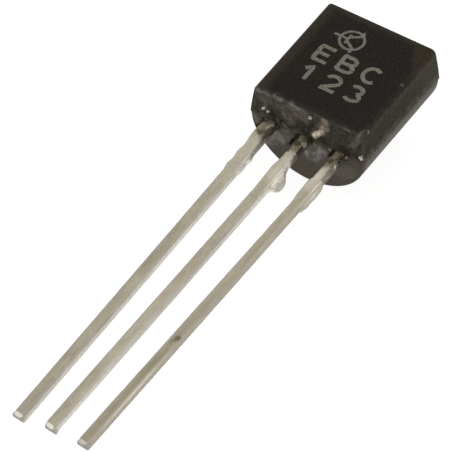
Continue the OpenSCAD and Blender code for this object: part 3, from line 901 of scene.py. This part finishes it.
# The blisters' lighter swirls are a painted highlight of their gloss
blistered = between(marked("blister"), 0.1, 0.9)
resin_colour = cover(blistered, two_tone("blister", marked("swirls"), -0.45, 0.5))
rubbed = times(marked("corner_line"), between(grain, 0.4, 0.65, 0.1, 0.6))
resin_colour = cover(rubbed, mark_tones["rubbed"])
resin_colour = cover(patchy("tan"), mark_tones["tan"])
resin_colour = cover(patchy("cream", 0.35, 0.55, 0.5), mark_tones["cream"])
resin_colour = cover(patchy("scuff"), mark_tones["scuff"])
# The grooves round the roots, darkened with painted shadow of the leads
resin_colour = cover(marked("moat"), mark_tones["moat"])
glossy = maths("MAXIMUM", marked("blister"), marked("cream"))
set_shader(
    resin_shader, Base_Color=resin_colour, Specular_IOR_Level=0.045,
    Sheen_Weight=0.15, Sheen_Roughness=0.42, Sheen_Tint=grey(0.9, 0.08),
    Normal=relief(maths("ADD", filler, lumpy), 0.005),
    Roughness=between(glossy, 0.2, 0.9, 0.62, 0.36),
)
case_mesh.materials.append(resin)
piece("moulded_case", case_mesh, "body")

# ---- Marks printed on the flat ----
# Pale ink from a pad, a little raised and worn: the circuit symbol, the letters of the three
# leads and their numbers, each written with one round pen.
pen = 0.145
symbol_pen = 0.095
ink_h = 0.007
glyph_h = 0.64
glyph_w = 0.52
row_heights = (3.32, 2.34, 1.39)
row_step = 0.86
symbol_x = -0.46
edge_noise = 0.05
ink_dark, ink_light, ink_gone = grey(0.13, 0.09), grey(0.24, 0.09), grey(0.035, 0.1)


def bow(x, y, radius_x, radius_y, start, end):
    """Part of an ellipse as points, between two angles in degrees."""
    turn = np.radians(np.linspace(start, end, 25))
    return [(x + radius_x * math.cos(a), y + radius_y * math.sin(a)) for a in turn]


glyphs = {
    "E": [[(0.95, 1), (0, 1), (0, 0), (0.95, 0)], [(0, 0.5), (0.8, 0.5)]],
    "B": [
        [(0, 0.5), (0, 1), (0.4, 1), *bow(0.55, 0.76, 0.35, 0.24, 80, -80), (0, 0.5), (0, 0)],
        [(0, 0), (0.4, 0), *bow(0.58, 0.25, 0.4, 0.25, -80, 80)],
    ],
    "C": [bow(0.55, 0.5, 0.52, 0.5, 48, 312)],
    "1": [[(0.1, 0.72), (0.5, 1), (0.5, 0)]],
    "2": [[*bow(0.5, 0.7, 0.45, 0.3, 170, -35), (0, 0), (1, 0)]],
    "3": [[*bow(0.45, 0.75, 0.4, 0.25, 150, -70), *bow(0.45, 0.26, 0.48, 0.27, 75, -145)]],
    "symbol": [
        bow(0.5, 0.5, 0.78, 0.64, 0, 360), [(-0.75, 0.5), (0.22, 0.5)], [(0.22, 0.84), (0.22, 0.16)],
        [(0.22, 0.62), (0.86, 0.98), (0.86, 1.3)], [(0.22, 0.38), (0.86, 0.02), (0.86, -0.3)],
    ],
}


def pen_lines():
    """All pen strokes on the flat as a mesh of lines; each point carries the pen's width."""
    lines = [("symbol", symbol_x, row_heights[0])]
    for word, height in zip(("EBC", "123"), row_heights[1:]):
        lines += [(c, row_step * (n - 1), height) for n, c in enumerate(word)]
    places, edges, widths = [], [], []
    for name, x, z in lines:
        for stroke in glyphs[name]:
            start = len(places)
            places += [(x + (u - 0.5) * glyph_w, 0, z + (v - 0.5) * glyph_h) for u, v in stroke]
            edges += [(i, i + 1) for i in range(start, len(places) - 1)]
            widths += [symbol_pen if name == "symbol" else pen] * len(stroke)
    mesh = bpy.data.meshes.new("pen_lines")
    mesh.from_pydata(places, edges, [])
    carry(mesh, pen=widths)
    return mesh


ink, ink_tree, ink_shader = finish_of("pad_ink")
ink_place = drawn(ink_tree)
ink_grain = speckle(ink_place, (15, 15, 15), 4, 0.7)
ink_wear = speckle(ink_place, (4, 4, 4), 3, 0.6, (4, 4, 1))
ink_colour = swap(between(ink_grain, 0.3, 0.7), ink_dark, ink_light)
worn_ink = between(maths("ADD", ink_grain, ink_wear), 0.92, 0.72, 0, 0.85)
ink_colour = swap(worn_ink, ink_colour, ink_gone)
set_shader(
    ink_shader, Base_Color=ink_colour, Roughness=0.8, Specular_IOR_Level=0.2,
    Normal=relief(ink_grain, 0.003),
)

print_tree, print_in = tree_with("pad_print", {
    "Ink height": "Float", "Edge noise": "Float", "Finish": "Material",
})
line = add(print_tree, "GeometryNodeMeshToCurve", {"Mesh": print_in["Geometry"]})
line = add(print_tree, "GeometryNodeResampleCurve", {"Curve": line, "Length": 0.02}, mode="LENGTH")
line = add(print_tree, "GeometryNodeSetCurveNormal", {"Curve": line}, mode="Z_UP")
inputs = {"Radius": 0.5, "Resolution": 16}
nib = add(print_tree, "GeometryNodeCurvePrimitiveCircle", inputs, mode="RADIUS")
inputs = {"Curve": line, "Profile Curve": nib, "Scale": carried(print_tree, "pen"), "Fill Caps": True}
ink_mesh = add(print_tree, "GeometryNodeCurveToMesh", inputs)
x_at, y_at, z_at = parts_of(add(print_tree, "GeometryNodeInputPosition"))
flatter = maths("DIVIDE", print_in["Ink height"], times(carried(print_tree, "pen"), 0.5))
y_at = times(y_at, flatter)
inputs = {"Vector": add(print_tree, "GeometryNodeInputPosition"), "Scale": 9.0, "Detail": 3.0}
wobble = add(print_tree, "ShaderNodeVectorMath", {
    0: add(print_tree, "ShaderNodeTexNoise", inputs, 1), 1: (0.5, 0.5, 0.5),
}, operation="SUBTRACT")
wobble_x, _, wobble_z = parts_of(wobble)
x_at = maths("MULTIPLY_ADD", wobble_x, print_in["Edge noise"], x_at)
z_at = maths("MULTIPLY_ADD", wobble_z, print_in["Edge noise"], z_at)
inked = add(print_tree, "ShaderNodeCombineXYZ", {0: x_at, 1: y_at, 2: z_at})
ink_mesh = add(print_tree, "GeometryNodeSetPosition", {"Geometry": ink_mesh, "Position": inked})
ink_mesh = add(print_tree, "GeometryNodeSetShadeSmooth", {"Geometry": ink_mesh})
end_tree(print_tree, ink_mesh, print_in["Finish"])
marks = grown(pen_lines(), print_tree, {"Ink height": ink_h, "Edge noise": edge_noise, "Finish": ink})
piece("printed_marks", marks)

# ---- Crumbs on the lead end ----
# Chips of resin and tin that stuck to the case when it was cut from its frame. Each is a
# small ball pushed out of shape, half sunk in what it lies on.
crumb_sizes = {
    (-1.66, 0.79): 0.045, (-1.48, 0.86): 0.042, (0.09, 0.25): 0.05, (2.02, 1.0): 0.065,
    (2.04, 0.86): 0.035, (-1.60, 0.72): 0.025,
}
dull_crumbs = {(1.45, 1.31): 0.05, (0.84, 1.30): 0.04}
chip_dark, chip_light, chip_dull = grey(0.30, 0.07), grey(0.75, 0.05), (0.17, 0.145, 0.12, 1)

chalk, chalk_tree, chalk_shader = finish_of("resin_chips")
chalk_grain = speckle(drawn(chalk_tree), (16, 16, 16), 3, 0.6)
chalk_colour = swap(between(chalk_grain, 0.4, 0.62), chip_dark, chip_light)
dull = add(chalk_tree, "ShaderNodeAttribute", output="Fac", attribute_name="dull")
chalk_colour = swap(times(dull, 0.85), chalk_colour, chip_dull)
set_shader(chalk_shader, Base_Color=chalk_colour, Roughness=0.6, Normal=relief(chalk_grain, 0.006))

crumb_tree, crumb_in = tree_with("crumbs", {
    "Unevenness": "Float", "Seed": "Int", "Finish": "Material",
})
ball = add(crumb_tree, "GeometryNodeMeshIcoSphere", {"Radius": 1.0, "Subdivisions": 4})
inputs = {0: (0, 0, 0), 1: (6.3, 6.3, 6.3), "Seed": crumb_in["Seed"]}
turns = add(crumb_tree, "FunctionNodeRandomValue", inputs, data_type="FLOAT_VECTOR")
inputs = {"Points": crumb_in["Geometry"], "Instance": ball, "Rotation": turns}
inputs["Scale"] = carried(crumb_tree, "size")
balls = add(crumb_tree, "GeometryNodeInstanceOnPoints", inputs)
balls = add(crumb_tree, "GeometryNodeRealizeInstances", {"Geometry": balls})
inputs = {"Vector": add(crumb_tree, "GeometryNodeInputPosition"), "Scale": 12.0, "Detail": 2.0}
dents = maths("SUBTRACT", add(crumb_tree, "ShaderNodeTexNoise", inputs), 0.5)
inputs = {0: add(crumb_tree, "GeometryNodeInputNormal")}
inputs["Scale"] = times(dents, crumb_in["Unevenness"])
dents = add(crumb_tree, "ShaderNodeVectorMath", inputs, operation="SCALE")
balls = add(crumb_tree, "GeometryNodeSetPosition", {"Geometry": balls, "Offset": dents})
balls = add(crumb_tree, "GeometryNodeSetShadeSmooth", {"Geometry": balls})
end_tree(crumb_tree, balls, crumb_in["Finish"])
crumb_places = [(x, y, float(end_height(y, y > front_d))) for x, y in [*crumb_sizes, *dull_crumbs]]
crumb_mesh = bpy.data.meshes.new("crumb_places")
crumb_mesh.from_pydata(crumb_places, [], [])
carry(
    crumb_mesh, size=[*crumb_sizes.values(), *dull_crumbs.values()],
    dull=[0] * len(crumb_sizes) + [1] * len(dull_crumbs),
)
crumbs = grown(crumb_mesh, crumb_tree, {"Unevenness": 0.2, "Seed": 4, "Finish": chalk})
piece("crumbs", crumbs)

# ---- Floor, light and camera ----
# A lit white sheet, brighter than the room over it, with the room darker towards the
# horizon and one soft light at the right.
floor_reach = 2.0
floor_mesh = bpy.data.meshes.new("paper_floor")
corners = [(x * floor_reach, y * floor_reach, 0) for x, y in ((-1, -1), (1, -1), (1, 1), (-1, 1))]
floor_mesh.from_pydata(corners, [], [(0, 1, 2, 3)])
floor = bpy.data.objects.new("paper_floor", floor_mesh)
bpy.context.scene.collection.objects.link(floor)
paper, paper_tree, paper_shader = finish_of("white_paper")
fibres = speckle(add(paper_tree, "ShaderNodeTexCoord", output="Object"), (900, 900, 900))
set_shader(
    paper_shader, Base_Color=swap(fibres, grey(0.24), grey(0.27)),
    Roughness=0.9, Specular_IOR_Level=0.1, Emission_Color=grey(1.0), Emission_Strength=0.88,
)
floor_mesh.materials.append(paper)

world = bpy.data.worlds.new("room")
bpy.context.scene.world = world
world.use_nodes = True
room = world.node_tree
_, _, up = parts_of(add(room, "ShaderNodeTexCoord", output="Generated"))
background = room.nodes["Background"]
room.links.new(between(up, -0.05, 0.6, 0.30, 0.74), background.inputs["Strength"])
background.inputs["Color"].default_value = grey(1.0, 0.03)


def soft_light(name, place, size, power):
    """A square soft light that faces the object."""
    lamp = bpy.data.lights.new(name, "AREA")
    lamp.energy = power
    lamp.size = size
    light = bpy.data.objects.new(name, lamp)
    light.location = place
    light.rotation_euler = (-Vector(place)).to_track_quat("-Z", "Y").to_euler()
    bpy.context.scene.collection.objects.link(light)


soft_light("right_light", place=(0.16, 0.1, 0.11), size=0.08, power=0.05)

camera_distance = 172.635 * MM
camera_azimuth = math.radians(30.138)
camera_height = math.radians(42.050)
camera_roll = math.radians(4.212)
aim = Vector((-0.3344, 0.7210, 1.0233)) * MM
away = Vector((
    math.sin(camera_azimuth) * math.cos(camera_height),
    -math.cos(camera_azimuth) * math.cos(camera_height),
    math.sin(camera_height),
))
lens = bpy.data.cameras.new("camera")
lens.lens = 440.55
lens.sensor_width = 36
lens.clip_start = 0.01
camera = bpy.data.objects.new("camera", lens)
camera.location = aim + away * camera_distance
turn = (-away).to_track_quat("-Z", "Y").to_matrix() @ Matrix.Rotation(camera_roll, 3, "Z")
camera.rotation_euler = turn.to_euler()
bpy.context.scene.collection.objects.link(camera)
bpy.context.scene.camera = camera
bpy.context.scene.view_settings.view_transform = "Standard"
